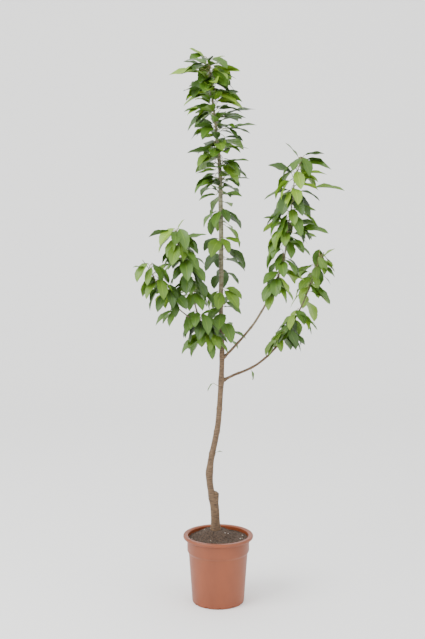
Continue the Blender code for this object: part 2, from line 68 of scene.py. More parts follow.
# Lights: name, place, tilt in degrees, size, watts
LIGHTS = (
    ("left_light", (-2.6, -1.8, 2.9), (52.0, 0.0, -55.0), 2.4, 150.0),
    ("right_light", (2.8, -2.2, 2.2), (62.0, 0.0, 52.0), 2.6, 28.0),
)

# Pot and soil
POT_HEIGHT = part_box("pot")[1].z
RIM_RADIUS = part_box("pot")[1].x
BASE_RADIUS = 0.0815
WALL = 0.0025
WALL_TOP_RADIUS = 0.0925
COLLAR_RADIUS = 0.0975
STEP_LOW = 0.156
STEP_HIGH = 0.168
LIP_HEIGHT = 0.010
POT_SIDES = 192
NOTCHES = 12
NOTCH_FIRST = 0.13
NOTCH_HALF_TURN = 0.058
NOTCH_TOP = 0.0055
NOTCH_DEPTH = 0.005
FOOT_ROUNDING = 0.004
LIP_THICKNESS = 0.006
COLLAR_TOP_RADIUS = COLLAR_RADIUS + 0.0006
POLE_RADIUS = 1e-5
SOIL_FLOOR = 0.190
POT_FLOOR = SOIL_FLOOR + 0.002
SOIL_CLEARANCE = 0.0004
SOIL_EDGE = 0.2035
MOUND_HEIGHT = 0.2218
MOUND_FLAT = 0.024
MOUND_RADIUS = 0.075
SOIL_SIDES = 144
SOIL_RINGS = 44
CLOD_HEIGHT = 0.0011
CLODS_AT_MOUND = 0.2
CHIPS = 420
SPECKS = 14
CHIP_SIZES = (0.0012, 0.0036)
CHIP_SHAPE = (1.4, 0.9, 0.55)
CHIP_SEED = 5

# Trunk: the same bends as the solid's
TRUNK_BENDS = [
    (-0.0090, 0.0300, 0.2195), (-0.0095, 0.0290, 0.270), (-0.0125, 0.0280, 0.305), (-0.0195, 0.0280, 0.335),
    (-0.0260, 0.0270, 0.367), (-0.0280, 0.0260, 0.403), (-0.0250, 0.0255, 0.433), (-0.0195, 0.0250, 0.464),
    (-0.0065, 0.0235, 0.528), (0.0020, 0.0220, 0.592), (0.0090, 0.0200, 0.703), (0.0115, 0.0180, 0.800),
    (0.0080, 0.0155, 0.925), (0.0088, 0.0125, 1.070), (0.0075, 0.0095, 1.215), (0.0035, 0.0065, 1.365),
    (-0.0105, 0.0035, 1.500), (-0.0240, 0.0013, 1.607), (-0.0265, 0.0003, 1.675),
]
TRUNK_HEIGHTS = [0.2195, 0.325, 0.350, 0.880, 1.240, 1.675]
TRUNK_RADII = [0.0138, 0.0138, 0.0104, 0.0070, 0.0070, 0.0018]
# Swellings: height, added radius, spread
SWELLINGS = [
    (0.2215, 0.0030, 0.020), (0.408, 0.0020, 0.022), (0.700, 0.0016, 0.016), (0.780, 0.0010, 0.014),
    (0.468, 0.0012, 0.006), (0.540, 0.0010, 0.006), (0.612, 0.0010, 0.005), (1.392, 0.0012, 0.006),
]
BARK_SIDES = 28
TRUNK_STEPS = 700
# Share of the relief: heights, and the share at each
RELIEF_HEIGHTS = [0.22, 0.36, 0.90]
RELIEF_SHARES = [1.5, 1.0, 0.45]
STUB_BENDS = [(-0.0105, 0.0285, 0.285), (-0.0085, 0.0289, 0.320), (-0.0068, 0.0290, 0.345)]
STUB_RADIUS = 0.0098
STUB_STEPS = 30
STUB_SLANT = 0.75

# Side limbs: bends, radii at foot and end, swelling at the foot
LIMBS = {
    "lower_right_bough": (
        [(0.009, 0.020, 0.699), (0.046, 0.0385, 0.7145), (0.110, 0.070, 0.737), (0.1625, 0.0965, 0.773),
         (0.2095, 0.120, 0.825), (0.2595, 0.145, 0.9055), (0.288, 0.1595, 0.966), (0.302, 0.1665, 1.004),
         (0.322, 0.176, 1.052), (0.3416, 0.186, 1.093)], (0.0045, 0.0013), 0.0030),
    "upper_right_bough": (
        [(0.011, 0.018, 0.768), (0.063, 0.0065, 0.8245), (0.115, -0.005, 0.8915), (0.161, -0.015, 0.978),
         (0.198, -0.023, 1.080), (0.209, -0.0255, 1.170), (0.2235, -0.0285, 1.263), (0.2286, -0.0298, 1.320),
         (0.2453, -0.0335, 1.3686)], (0.0042, 0.0013), 0.0022),
    "left_bough": (
        [(0.0115, 0.0175, 0.796), (-0.001, 0.0015, 0.8165), (-0.0255, -0.017, 0.841),
         (-0.050, -0.035, 0.8755), (-0.0725, -0.052, 0.9535), (-0.0885, -0.064, 1.030),
         (-0.106, -0.077, 1.083), (-0.1233, -0.090, 1.148)], (0.0036, 0.0012), 0.0012),
    "left_side_shoot": (
        [(-0.054, -0.038, 0.889), (-0.086, -0.052, 0.906), (-0.125, -0.0675, 0.940),
         (-0.1542, -0.078, 0.9773), (-0.1753, -0.0854, 0.997), (-0.2048, -0.0957, 1.0533),
         (-0.2252, -0.1028, 1.0834)],
        (0.0022, 0.0010), 0.0),
}
LIMB_SIDES = 14
LIMB_STEPS = 220
SWELLING_SPREAD = 0.016
BUDS = 11
BUD_SWELLING = 0.16

# Masses: shoot, reach to left, right, front and back, sprays, first turn, dip at the foot, rise at the head,
# share of young leaves, and the furthest tips
MASSES = {
    "crown_top_mass": (
        [(-0.0205, 0.0020, 1.583), (-0.0265, 0.0005, 1.658)], (0.100, 0.092, 0.100, 0.100), 14, 0.3,
        -0.034, -0.024, 0.45,
        [(-0.088, -0.030, 1.706), (-0.151, 0.020, 1.634), (0.066, -0.015, 1.642), (0.022, 0.030, 1.692)]),
    "crown_upper_mass": (
        [(-0.0040, 0.0045, 1.455), (-0.0165, 0.0025, 1.545)], (0.088, 0.110, 0.108, 0.105), 13, 1.4,
        -0.030, -0.002, 0.18, [(0.114, 0.015, 1.532), (0.116, -0.030, 1.482), (-0.105, 0.010, 1.524)]),
    "crown_lower_mass": (
        [(0.0060, 0.0078, 1.296), (-0.0020, 0.0050, 1.420)], (0.082, 0.090, 0.108, 0.112), 15, 2.2,
        -0.040, -0.018, 0.12, [(0.096, 0.020, 1.324), (0.093, -0.030, 1.376), (-0.095, -0.015, 1.400)]),
    "leader_upper_leaves": (
        [(0.0088, 0.0120, 1.095), (0.0070, 0.0090, 1.240)], (0.048, 0.080, 0.070, 0.075), 6, 0.1,
        -0.025, -0.004, 0.05, []),
    "leader_lower_leaves": (
        [(0.0108, 0.0170, 0.840), (0.0085, 0.0150, 0.940), (0.0080, 0.0140, 1.020)],
        (0.034, 0.072, 0.060, 0.070), 6, 5.9, -0.030, -0.006, 0.05, []),
    "left_top_mass": (
        [(-0.1010, -0.0730, 1.075), (-0.1160, -0.0850, 1.120), (-0.1240, -0.0905, 1.160)],
        (0.055, 0.060, 0.055, 0.040), 9, 2.6, -0.030, 0.012, 0.30,
        [(-0.100, -0.095, 1.204), (-0.208, -0.090, 1.150), (-0.034, -0.070, 1.157)]),
    "left_middle_mass": (
        [(-0.0755, -0.0545, 0.972), (-0.0885, -0.0640, 1.035)], (0.062, 0.052, 0.050, 0.030), 7, 0.4,
        -0.030, -0.010, 0.10, []),
    "left_low_mass": (
        [(-0.0330, -0.0220, 0.850), (-0.0530, -0.0370, 0.885), (-0.0600, -0.0430, 0.905)],
        (0.060, 0.052, 0.050, 0.022), 9, 1.0, -0.052, -0.012, 0.05,
        [(-0.012, -0.056, 0.930), (-0.018, -0.042, 0.776)]),
    "left_side_mass": (
        [(-0.1300, -0.0690, 0.946), (-0.1753, -0.0854, 1.000), (-0.2048, -0.0957, 1.053)],
        (0.048, 0.050, 0.040, 0.034), 9, 3.2, -0.042, 0.000, 0.25,
        [(-0.254, -0.120, 1.062), (-0.145, -0.060, 1.070)]),
    "upper_right_top_mass": (
        [(0.2240, -0.0288, 1.266), (0.2286, -0.0298, 1.320), (0.2453, -0.0335, 1.368)],
        (0.075, 0.095, 0.045, 0.045), 8, 0.2, -0.030, 0.000, 0.35,
        [(0.198, -0.040, 1.430), (0.378, -0.050, 1.287), (0.148, -0.020, 1.364), (0.342, -0.010, 1.350)]),
    "upper_right_middle_mass": (
        [(0.2060, -0.0248, 1.145), (0.2190, -0.0276, 1.238)], (0.070, 0.085, 0.050, 0.040), 10, 3.0,
        -0.048, -0.020, 0.15, [(0.330, -0.060, 1.160), (0.298, -0.020, 1.148), (0.135, -0.025, 1.206)]),
    "upper_right_low_mass": (
        [(0.1700, -0.0170, 0.995), (0.1960, -0.0228, 1.072)], (0.045, 0.062, 0.045, 0.035), 7, 5.2,
        -0.040, -0.012, 0.08, []),
    "lower_right_top_mass": (
        [(0.2840, 0.1573, 0.955), (0.3040, 0.1675, 1.010), (0.3250, 0.1780, 1.060)],
        (0.050, 0.056, 0.030, 0.055), 8, 0.9, -0.038, 0.000, 0.30,
        [(0.378, 0.185, 1.104), (0.374, 0.200, 1.045), (0.335, 0.235, 1.060)]),
    "lower_right_low_mass": (
        [(0.1950, 0.1130, 0.807), (0.2240, 0.1275, 0.845), (0.2560, 0.1435, 0.900)],
        (0.044, 0.060, 0.030, 0.042), 8, 4.1, -0.030, -0.020, 0.12, [(0.315, 0.150, 0.860)]),
}
LEAVES_IN_SPRAY = 3
LEAF_TURN = math.radians(137.5)
SPRAYS_SHARE = 1.15
SHOOT_OVERRUN = 0.16
SHOOT_STEPS = 60
LEAF_SHARES = (0.46, 0.58)
SPRAY_SPREAD = (0.0, 0.75, -0.75)
TURN_JITTER = 0.25
FOOT_JITTER = 0.06
REACH_JITTER = (0.80, 1.0)
SIDE_LEAF_REACH = 0.84
SIDE_LEAF_LENGTH = 0.88
LENGTH_PAST_REACH = 0.030
LEAST_STALK = 0.014
SLOPES = (0.42, 0.985)
PITCH_JITTER = (-0.1, 0.55)
DROOPS = (0.35, 0.95)
START_RISE = 0.020
RISE_SHARE = 0.5
HEIGHT_JITTER = 0.020
TIP_BLADE_SHARE = 0.82
TIP_DROOP = 0.35
FOLDS = (0.10, 0.45)
MOST_ROLL = 0.55
MOST_PHASE = 6.0
RIPPLE_SHARE = 0.10
RIPPLE_TURNS = 11.0
RIPPLE_SLANT = 2.0
LEAST_WIDTH = 0.012
TONE_SHARES = (0.30, 0.42, 0.28)
LEAF_ROWS = 12
LEAF_COLUMNS = 4
TOOTH_DEPTH = 0.07
STALK_RINGS = 5
STALK_SIDES = 5
STALK_RADIUS = 0.0009
STALK_ARCH = (0.0, 0.0, 0.006)

# Single leaves low on the stem and the boughs: foot of the stalk, foot of the blade, tip
STEM_LEAVES = [
    ((-0.0195, 0.0250, 0.466), (-0.0060, 0.0180, 0.474), (0.0140, 0.0150, 0.476)),
    ((0.0070, 0.0200, 0.680), (-0.0160, 0.0120, 0.695), (-0.0330, 0.0100, 0.667)),
    ((0.1000, 0.0650, 0.734), (0.1040, 0.0600, 0.727), (0.1080, 0.0580, 0.695)),
]
STEM_LEAF_DROOP = 0.5
STEM_LEAF_SHARE = 0.5
STEM_LEAF_FOLD = 0.3

# Points on a curve between two bends
CURVE_POINTS = 16


def unit(vectors):
    """Vectors divided by their length."""
    return vectors / np.maximum(np.linalg.norm(vectors, axis=-1, keepdims=True), 1e-12)


def smooth_route(bends, steps):
    """Catmull-Rom cubic through the bends, then read at even distances along its length."""
    bends = np.asarray(bends, float)
    bends = np.vstack([2 * bends[0] - bends[1], bends, 2 * bends[-1] - bends[-2]])
    t = np.linspace(0.0, 1.0, CURVE_POINTS, endpoint=False)[None, :, None]
    a, b, c, d = (bends[k:len(bends) - 3 + k][:, None, :] for k in range(4))
    bend = (2 * a - 5 * b + 4 * c - d) * t ** 2 + (3 * b - a - 3 * c + d) * t ** 3
    fine = 0.5 * (2 * b + (c - a) * t + bend)
    fine = np.vstack([fine.reshape(-1, 3), bends[-2]])
    lengths = np.concatenate([[0.0], np.cumsum(np.linalg.norm(np.diff(fine, axis=0), axis=1))])
    wanted = np.linspace(0.0, lengths[-1], steps + 1)
    return np.stack([np.interp(wanted, lengths, fine[:, k]) for k in range(3)], axis=1)


def ring_faces(count, rings, sides):
    """Quads between neighbouring rings of each tube, and a flat face at both ends."""
    base = np.arange(count)[:, None, None] * rings * sides
    low = base + np.arange(rings - 1)[None, :, None] * sides + np.arange(sides)
    near = base + np.arange(rings - 1)[None, :, None] * sides + (np.arange(sides) + 1) % sides
    quads = np.stack([low, near, near + sides, low + sides], axis=-1).reshape(-1, 4)
    foot = base[:, 0] + np.arange(sides)[::-1]
    head = base[:, 0] + (rings - 1) * sides + np.arange(sides)
    return quads.tolist() + foot.tolist() + head.tolist()


def tubes(routes, radii, across):
    """Profile carried along paths: at each path point a ring of radius r stands square to the path.

    routes is tube by ring by 3, radii is tube by ring by side, and across is the way to the first side.
    """
    along = unit(np.gradient(routes, axis=1))
    across = unit(across - along * np.sum(across * along, axis=-1, keepdims=True))
    other = np.cross(along, across)
    turn = 2 * np.pi * np.arange(radii.shape[2]) / radii.shape[2]
    ring = across[:, :, None] * np.cos(turn)[:, None] + other[:, :, None] * np.sin(turn)[:, None]
    points = routes[:, :, None] + ring * radii[..., None]
    return points.reshape(-1, 3), ring_faces(*radii.shape)


def turned(profile, sides, shape):
    """Surface of turn and profile share: the profile's radius is changed by shape(radius, height, turn)."""
    profile = np.asarray(profile, float)
    turn = 2 * np.pi * np.arange(sides) / sides
    height = profile[:, 1:2] + 0.0 * turn
    radius, height = shape(profile[:, :1] + 0.0 * turn, height, turn + 0.0 * height)
    points = np.stack([radius * np.cos(turn), radius * np.sin(turn), height], axis=-1)
    return points.reshape(-1, 3), ring_faces(1, len(profile), sides)


def add_piece(name, points, faces, materials, nodes=(), index=None, uv=None):
    """Put a finished surface into a mesh object that rides on the plant."""
    mesh = bpy.data.meshes.new(name)
    mesh.from_pydata(points.tolist(), [], faces)
    for material in materials:
        mesh.materials.append(material)
    if index is not None:
        mesh.polygons.foreach_set("material_index", np.asarray(index, dtype=np.int32))
    if uv is not None:
        corner = np.empty(len(mesh.loops), dtype=np.int32)
        mesh.loops.foreach_get("vertex_index", corner)
        mesh.uv_layers.new(name="blade").data.foreach_set("uv", uv[corner].ravel())
    mesh.shade_smooth()
    piece = bpy.data.objects.new(name, mesh)
    bpy.context.scene.collection.objects.link(piece)
    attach(piece, "root")
    if nodes:
        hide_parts(*nodes)
    return piece


def new_material(name, roughness):
    """Principled material and its node tree's parts."""
    material = bpy.data.materials.new(name)
    material.use_nodes = True
    tree = material.node_tree
    shader = tree.nodes["Principled BSDF"]
    shader.inputs["Roughness"].default_value = roughness
    return material, tree, shader


def noise_colour(tree, coordinate, scale, stretch, colours, detail=5.0):
    """Noise on stretched coordinates turned into colours by a ramp, and the noise node."""
    mapping = tree.nodes.new("ShaderNodeMapping")
    mapping.inputs["Scale"].default_value = stretch
    tree.links.new(coordinate, mapping.inputs["Vector"])
    noise = tree.nodes.new("ShaderNodeTexNoise")
    noise.inputs["Scale"].default_value = scale
    noise.inputs["Detail"].default_value = detail
    tree.links.new(mapping.outputs["Vector"], noise.inputs["Vector"])
    ramp = tree.nodes.new("ShaderNodeValToRGB")
    ramp.color_ramp.elements[0].position = 0.32
    ramp.color_ramp.elements[1].position = 0.68
    ramp.color_ramp.elements[0].color = (*colours[0], 1.0)
    ramp.color_ramp.elements[1].color = (*colours[1], 1.0)
    tree.links.new(noise.outputs["Fac"], ramp.inputs["Fac"])
    return ramp.outputs["Color"], noise.outputs["Fac"]


def add_bump(tree, shader, height, strength, distance):
    """Bump from a height to the shader's normal."""
    bump = tree.nodes.new("ShaderNodeBump")
    bump.inputs["Strength"].default_value = strength
    bump.inputs["Distance"].default_value = distance
    tree.links.new(height, bump.inputs["Height"])
    tree.links.new(bump.outputs["Normal"], shader.inputs["Normal"])


def object_coordinate(tree):
    """Object coordinates of a piece."""
    return tree.nodes.new("ShaderNodeTexCoord").outputs["Object"]


def bark_material():
    """Bark: fine cross lines, tan on the stem and grey green on the leader and its shoots."""
    material, tree, shader = new_material("young_bark", 0.72)
    place = object_coordinate(tree)
    stem, lines = noise_colour(
        tree, place, 60.0, (1.0, 1.0, 6.0), ((0.040, 0.022, 0.010), (0.175, 0.105, 0.052)))
    green, _ = noise_colour(tree, place, 55.0, (1.0, 1.0, 3.0), ((0.070, 0.068, 0.034), (0.25, 0.24, 0.15)))
    split = tree.nodes.new("ShaderNodeSeparateXYZ")
    tree.links.new(place, split.inputs["Vector"])
    rise = tree.nodes.new("ShaderNodeMapRange")
    rise.inputs["From Min"].default_value = 0.78
    rise.inputs["From Max"].default_value = 1.15
    tree.links.new(split.outputs["Z"], rise.inputs["Value"])
    mix = tree.nodes.new("ShaderNodeMixRGB")
    tree.links.new(rise.outputs["Result"], mix.inputs["Fac"])
    tree.links.new(stem, mix.inputs["Color1"])
    tree.links.new(green, mix.inputs["Color2"])
    tree.links.new(mix.outputs["Color"], shader.inputs["Base Color"])
    add_bump(tree, shader, lines, 0.5, 0.0008)
    return material


def leaf_material(name, tone):
    """Leaf: one plain green with a paler midrib along the blade's own map, and side veins as bump."""
    material, tree, shader = new_material(name, 0.46)
    uv = tree.nodes.new("ShaderNodeUVMap")
    uv.uv_map = "blade"
    split = tree.nodes.new("ShaderNodeSeparateXYZ")
    tree.links.new(uv.outputs["UV"], split.inputs["Vector"])
    middle = tree.nodes.new("ShaderNodeMath")
    middle.operation = "SUBTRACT"
    middle.inputs[1].default_value = 0.5
    tree.links.new(split.outputs["X"], middle.inputs[0])
    away = tree.nodes.new("ShaderNodeMath")
    away.operation = "ABSOLUTE"
    tree.links.new(middle.outputs["Value"], away.inputs[0])
    rib = tree.nodes.new("ShaderNodeMapRange")
    rib.inputs["From Min"].default_value = 0.012
    rib.inputs["From Max"].default_value = 0.045
    rib.inputs["To Min"].default_value = 0.55
    rib.inputs["To Max"].default_value = 0.0
    tree.links.new(away.outputs["Value"], rib.inputs["Value"])
    mix = tree.nodes.new("ShaderNodeMixRGB")
    mix.inputs["Color1"].default_value = (*tone, 1.0)
    mix.inputs["Color2"].default_value = (tone[0] * 1.9 + 0.03, tone[1] * 1.6 + 0.04, tone[2] * 2.0, 1.0)
    tree.links.new(rib.outputs["Result"], mix.inputs["Fac"])
    tree.links.new(mix.outputs["Color"], shader.inputs["Base Color"])
    slant = tree.nodes.new("ShaderNodeMath")
    slant.operation = "MULTIPLY_ADD"
    slant.inputs[1].default_value = -0.55
    tree.links.new(away.outputs["Value"], slant.inputs[0])
    tree.links.new(split.outputs["Y"], slant.inputs[2])
    waves = tree.nodes.new("ShaderNodeMath")
    waves.operation = "MULTIPLY"
    waves.inputs[1].default_value = 56.0
    tree.links.new(slant.outputs["Value"], waves.inputs[0])
    veins = tree.nodes.new("ShaderNodeMath")
    veins.operation = "SINE"
    tree.links.new(waves.outputs["Value"], veins.inputs[0])
    add_bump(tree, shader, veins.outputs["Value"], 0.35, 0.0006)
    return material


def plain_material(name, roughness, scale, stretch, colours, strength, distance):
    """Noise between two colours, with the same noise as bump."""
    material, tree, shader = new_material(name, roughness)
    colour, height = noise_colour(tree, object_coordinate(tree), scale, stretch, colours)
    tree.links.new(colour, shader.inputs["Base Color"])
    add_bump(tree, shader, height, strength, distance)
    return material


def wall_radius(height):
    """Outer radius of the pot's wall: a straight draft, a smooth step, then the collar."""
    share = np.clip((height - STEP_LOW) / (STEP_HIGH - STEP_LOW), 0.0, 1.0)
    wall = BASE_RADIUS + (WALL_TOP_RADIUS - BASE_RADIUS) * np.minimum(height, STEP_LOW) / STEP_LOW
    return wall + (COLLAR_RADIUS - WALL_TOP_RADIUS) * share * share * (3 - 2 * share)


def notch_shape(radius, height, turn):
    """The radius is drawn in by a notch's depth where the turn is near a notch and the height is low."""
    cell = (turn * NOTCHES / (2 * np.pi) - NOTCH_FIRST + 0.5) % 1.0 - 0.5
    inside = (np.abs(cell) * 2 * np.pi / NOTCHES < NOTCH_HALF_TURN) & (height < NOTCH_TOP)
    outer = radius > BASE_RADIUS - NOTCH_DEPTH
    return np.where(inside & outer, BASE_RADIUS - NOTCH_DEPTH, radius), height


def soil_shape(radius, height, turn):
    """A mound round the trunk's foot with clods as sums of sines, on the top face only."""
    x = radius * np.cos(turn)
    y = radius * np.sin(turn)
    away = np.hypot(x - TRUNK_BENDS[0][0], y - TRUNK_BENDS[0][1])
    share = np.clip((away - MOUND_FLAT) / (MOUND_RADIUS - MOUND_FLAT), 0.0, 1.0)
    level = MOUND_HEIGHT + (SOIL_EDGE - MOUND_HEIGHT) * share * share * (3 - 2 * share)
    clods = np.sin(230 * x + 1.0) * np.sin(190 * y + 0.6)
    clods = clods + 0.6 * np.sin(610 * x + 2.0) * np.sin(570 * y + 0.4)
    clods = clods + 0.35 * np.sin(1350 * x + 900 * y) * np.sin(1220 * y - 700 * x)
    level = level + CLOD_HEIGHT * clods * np.minimum(1.0, CLODS_AT_MOUND + share)
    return radius, np.where(height > SOIL_FLOOR, level, height)


def blades(start, heading, pitch, length, share, droop, fold, roll, phase):
    """Leaf blades as a function of u along and v across.

    The midrib leaves at a pitch that falls by the droop over its length. The half width is
    share * length / 2 * sin(pi * u ** 0.9) ** 0.8, drawn in at every other row for teeth. The
    blade rises from the midrib by fold times the distance across, with a ripple along its edge.
    """
    u = np.linspace(0.0, 1.0, LEAF_ROWS + 1)
    v = np.linspace(-1.0, 1.0, LEAF_COLUMNS + 1)
    angle = pitch[:, None] - droop[:, None] * u
    middle = 0.5 * (angle[:, 1:] + angle[:, :-1])
    step = length[:, None] / LEAF_ROWS
    out = np.pad(np.cumsum(np.cos(middle) * step, axis=1), ((0, 0), (1, 0)))
    rise = np.pad(np.cumsum(np.sin(middle) * step, axis=1), ((0, 0), (1, 0)))
    zero = np.zeros_like(heading)
    ahead = np.stack([np.cos(heading), np.sin(heading), zero], axis=-1)[:, None, :]
    side = np.stack([-np.sin(heading), np.cos(heading), zero], axis=-1)[:, None, :]
    up = np.array([0.0, 0.0, 1.0])
    normal = -np.sin(angle)[..., None] * ahead + np.cos(angle)[..., None] * up
    turned_side = side * np.cos(roll)[:, None, None] + normal * np.sin(roll)[:, None, None]
    turned_normal = normal * np.cos(roll)[:, None, None] - side * np.sin(roll)[:, None, None]
    outline = np.maximum(np.sin(np.pi * u ** 0.9) ** 0.8, LEAST_WIDTH)
    outline = outline * (1.0 - TOOTH_DEPTH * (np.arange(len(u)) % 2))
    half = 0.5 * (share * length)[:, None] * outline
    across = half[:, :, None] * v
    lift = np.abs(across) * fold[:, None, None]
    wave = RIPPLE_TURNS * u[None, :, None] + phase[:, None, None] + RIPPLE_SLANT * v
    lift = lift + RIPPLE_SHARE * np.abs(across) * np.sin(wave)
    midrib = start[:, None, :] + ahead * out[..., None] + up * rise[..., None]
    points = midrib[:, :, None, :] + turned_side[:, :, None, :] * across[..., None]
    points = points + turned_normal[:, :, None, :] * lift[..., None]
    count = len(start)
    columns = LEAF_COLUMNS + 1
    first = np.arange(count)[:, None, None] * (LEAF_ROWS + 1) * columns
    first = first + np.arange(LEAF_ROWS)[None, :, None] * columns + np.arange(LEAF_COLUMNS)
    faces = np.stack([first, first + columns, first + columns + 1, first + 1], axis=-1).reshape(-1, 4)
    grid_v, grid_u = np.meshgrid((v + 1) / 2, u)
    uv = np.tile(np.stack([grid_v.ravel(), grid_u.ravel()], axis=-1), (count, 1))
    return points.reshape(-1, 3), faces.tolist(), uv


def grow_mass(mass, seed, lengths):
    """Sprays set round a shoot by the golden turn, whose leaf tips reach the mass's outline.

    A leaf at turn t goes out to (wide * cos t, deep * sin t), an ellipse of its own in each quarter.
    The blade slopes down where it is longer than its reach, and a stalk joins it to the shoot.
    """
    shoot_bends, reach, sprays, first_turn, dip, rise, young, tips = mass
    chance = np.random.default_rng(seed)
    bends = np.asarray(shoot_bends)
    bends[0] -= SHOOT_OVERRUN * (bends[1] - bends[0])
    bends[-1] += SHOOT_OVERRUN * (bends[-1] - bends[-2])
    shoot = smooth_route(bends, SHOOT_STEPS)
    sprays = round(sprays * SPRAYS_SHARE)
    spray = np.repeat(np.arange(sprays), LEAVES_IN_SPRAY)
    leaf = np.tile(np.arange(LEAVES_IN_SPRAY), sprays)
    count = len(spray)
    share = (spray + 0.5) / sprays
    spread = np.array(SPRAY_SPREAD)[leaf]
    turn = first_turn + spray * LEAF_TURN + spread + chance.uniform(-TURN_JITTER, TURN_JITTER, count)
    wide = np.cos(turn) * np.where(np.cos(turn) > 0, reach[1], reach[0])
    deep = np.sin(turn) * np.where(np.sin(turn) > 0, reach[3], reach[2])
    heading = np.arctan2(deep, wide)
    along = np.clip(share + chance.uniform(-FOOT_JITTER, FOOT_JITTER, count), 0.0, 1.0)
    foot = shoot[np.round(along * SHOOT_STEPS).astype(int)]
    far = np.hypot(wide, deep) * np.where(leaf == 0, 1.0, SIDE_LEAF_REACH)
    far = far * chance.uniform(*REACH_JITTER, count)
    length = chance.uniform(*lengths, count) * np.where(leaf == 0, 1.0, SIDE_LEAF_LENGTH)
    length = np.minimum(length, LENGTH_PAST_REACH + far)
    slope = np.clip((far - LEAST_STALK) / length, *SLOPES)
    pitch = -np.arccos(slope) + chance.uniform(*PITCH_JITTER, count)
    droop = chance.uniform(*DROOPS, count)
    ahead = np.stack([np.cos(heading), np.sin(heading), np.zeros(count)], axis=-1)
    start = foot + ahead * (far - slope * length)[:, None]
    start[:, 2] += START_RISE + RISE_SHARE * (dip + (rise - dip) * share)
    start[:, 2] += chance.uniform(-HEIGHT_JITTER, HEIGHT_JITTER, count)
    if tips:
        ends = np.asarray(tips)
        gaps = np.linalg.norm(shoot[None] - ends[:, None], axis=-1)
        tip_foot = shoot[np.argmin(gaps, axis=1)]
        way = ends - tip_foot
        distance = np.linalg.norm(way, axis=-1)
        tip_length = np.minimum(lengths[1], distance * TIP_BLADE_SHARE)
        foot = np.vstack([foot, tip_foot])
        heading = np.concatenate([heading, np.arctan2(way[:, 1], way[:, 0])])
        pitch = np.concatenate([pitch, np.arcsin(way[:, 2] / distance)])
        length = np.concatenate([length, tip_length])
        droop = np.concatenate([droop, np.full(len(tips), TIP_DROOP)])
        start = np.vstack([start, ends - unit(way) * tip_length[:, None]])
        spray = np.concatenate([spray, sprays + np.arange(len(tips))])
    count = len(heading)
    points, faces, uv = blades(
        start, heading, pitch + droop / 2, length, chance.uniform(*LEAF_SHARES, count), droop,
        chance.uniform(*FOLDS, count), chance.uniform(-MOST_ROLL, MOST_ROLL, count),
        chance.uniform(0.0, MOST_PHASE, count))
    weights = np.array(TONE_SHARES) * (1.0 - young)
    tones = chance.choice(4, size=spray.max() + 1, p=[*weights, young])
    index = np.repeat(tones[spray], LEAF_ROWS * LEAF_COLUMNS)
    t = np.linspace(0.0, 1.0, STALK_RINGS)[None, :, None]
    arch = 4.0 * t * (1.0 - t) * np.array(STALK_ARCH)
    routes = foot[:, None] * (1 - t) + start[:, None] * t + arch
    return points, faces, uv, index, routes


def grow_stem_leaves():
    """Single small leaves: each blade runs from its foot to its tip, with a little droop."""
    foot, start, tip = np.asarray(STEM_LEAVES).transpose(1, 0, 2)
    way = tip - start
    length = np.linalg.norm(way, axis=-1)
    count = len(length)
    heading = np.arctan2(way[:, 1], way[:, 0])
    droop = np.full(count, STEM_LEAF_DROOP)
    pitch = np.arcsin(way[:, 2] / length) + droop / 2
    points, faces, uv = blades(
        start, heading, pitch, length, np.full(count, STEM_LEAF_SHARE), droop, np.full(count, STEM_LEAF_FOLD),
        np.zeros(count), np.arange(count, dtype=float))
    t = np.linspace(0.0, 1.0, STALK_RINGS)[None, :, None]
    return points, faces, uv, foot[:, None] * (1 - t) + start[:, None] * t


class TreeSettings(bpy.types.PropertyGroup):
    """Sizes and colours that a user would change."""

    relief: bpy.props.FloatProperty(
        name="Bark relief", description="Height of the bark's ridges", default=0.0005, unit="LENGTH")
    seed: bpy.props.IntProperty(name="Leaf seed", description="Start of the leaves' random draws", default=11)
    leaf_short: bpy.props.FloatProperty(
        name="Short leaf", description="Length of the shortest blade", default=0.062, unit="LENGTH")
    leaf_long: bpy.props.FloatProperty(
        name="Long leaf", description="Length of the longest blade", default=0.094, unit="LENGTH")
    leaf_dark: bpy.props.FloatVectorProperty(
        name="Dark leaf", description="Darkest green", default=(0.034, 0.082, 0.006), subtype="COLOR")
    leaf_middle: bpy.props.FloatVectorProperty(
        name="Middle leaf", description="Common green", default=(0.062, 0.140, 0.009), subtype="COLOR")
    leaf_light: bpy.props.FloatVectorProperty(
        name="Light leaf", description="Lighter green", default=(0.105, 0.205, 0.014), subtype="COLOR")
    leaf_young: bpy.props.FloatVectorProperty(
        name="Young leaf", description="Green of the tips", default=(0.190, 0.330, 0.026), subtype="COLOR")
    pot_light: bpy.props.FloatVectorProperty(
        name="Pot colour", description="Terracotta of the pot", default=(0.225, 0.052, 0.014),
        subtype="COLOR")
    pot_dark: bpy.props.FloatVectorProperty(
        name="Pot shade", description="Darker patches of the pot", default=(0.175, 0.040, 0.011),
        subtype="COLOR")


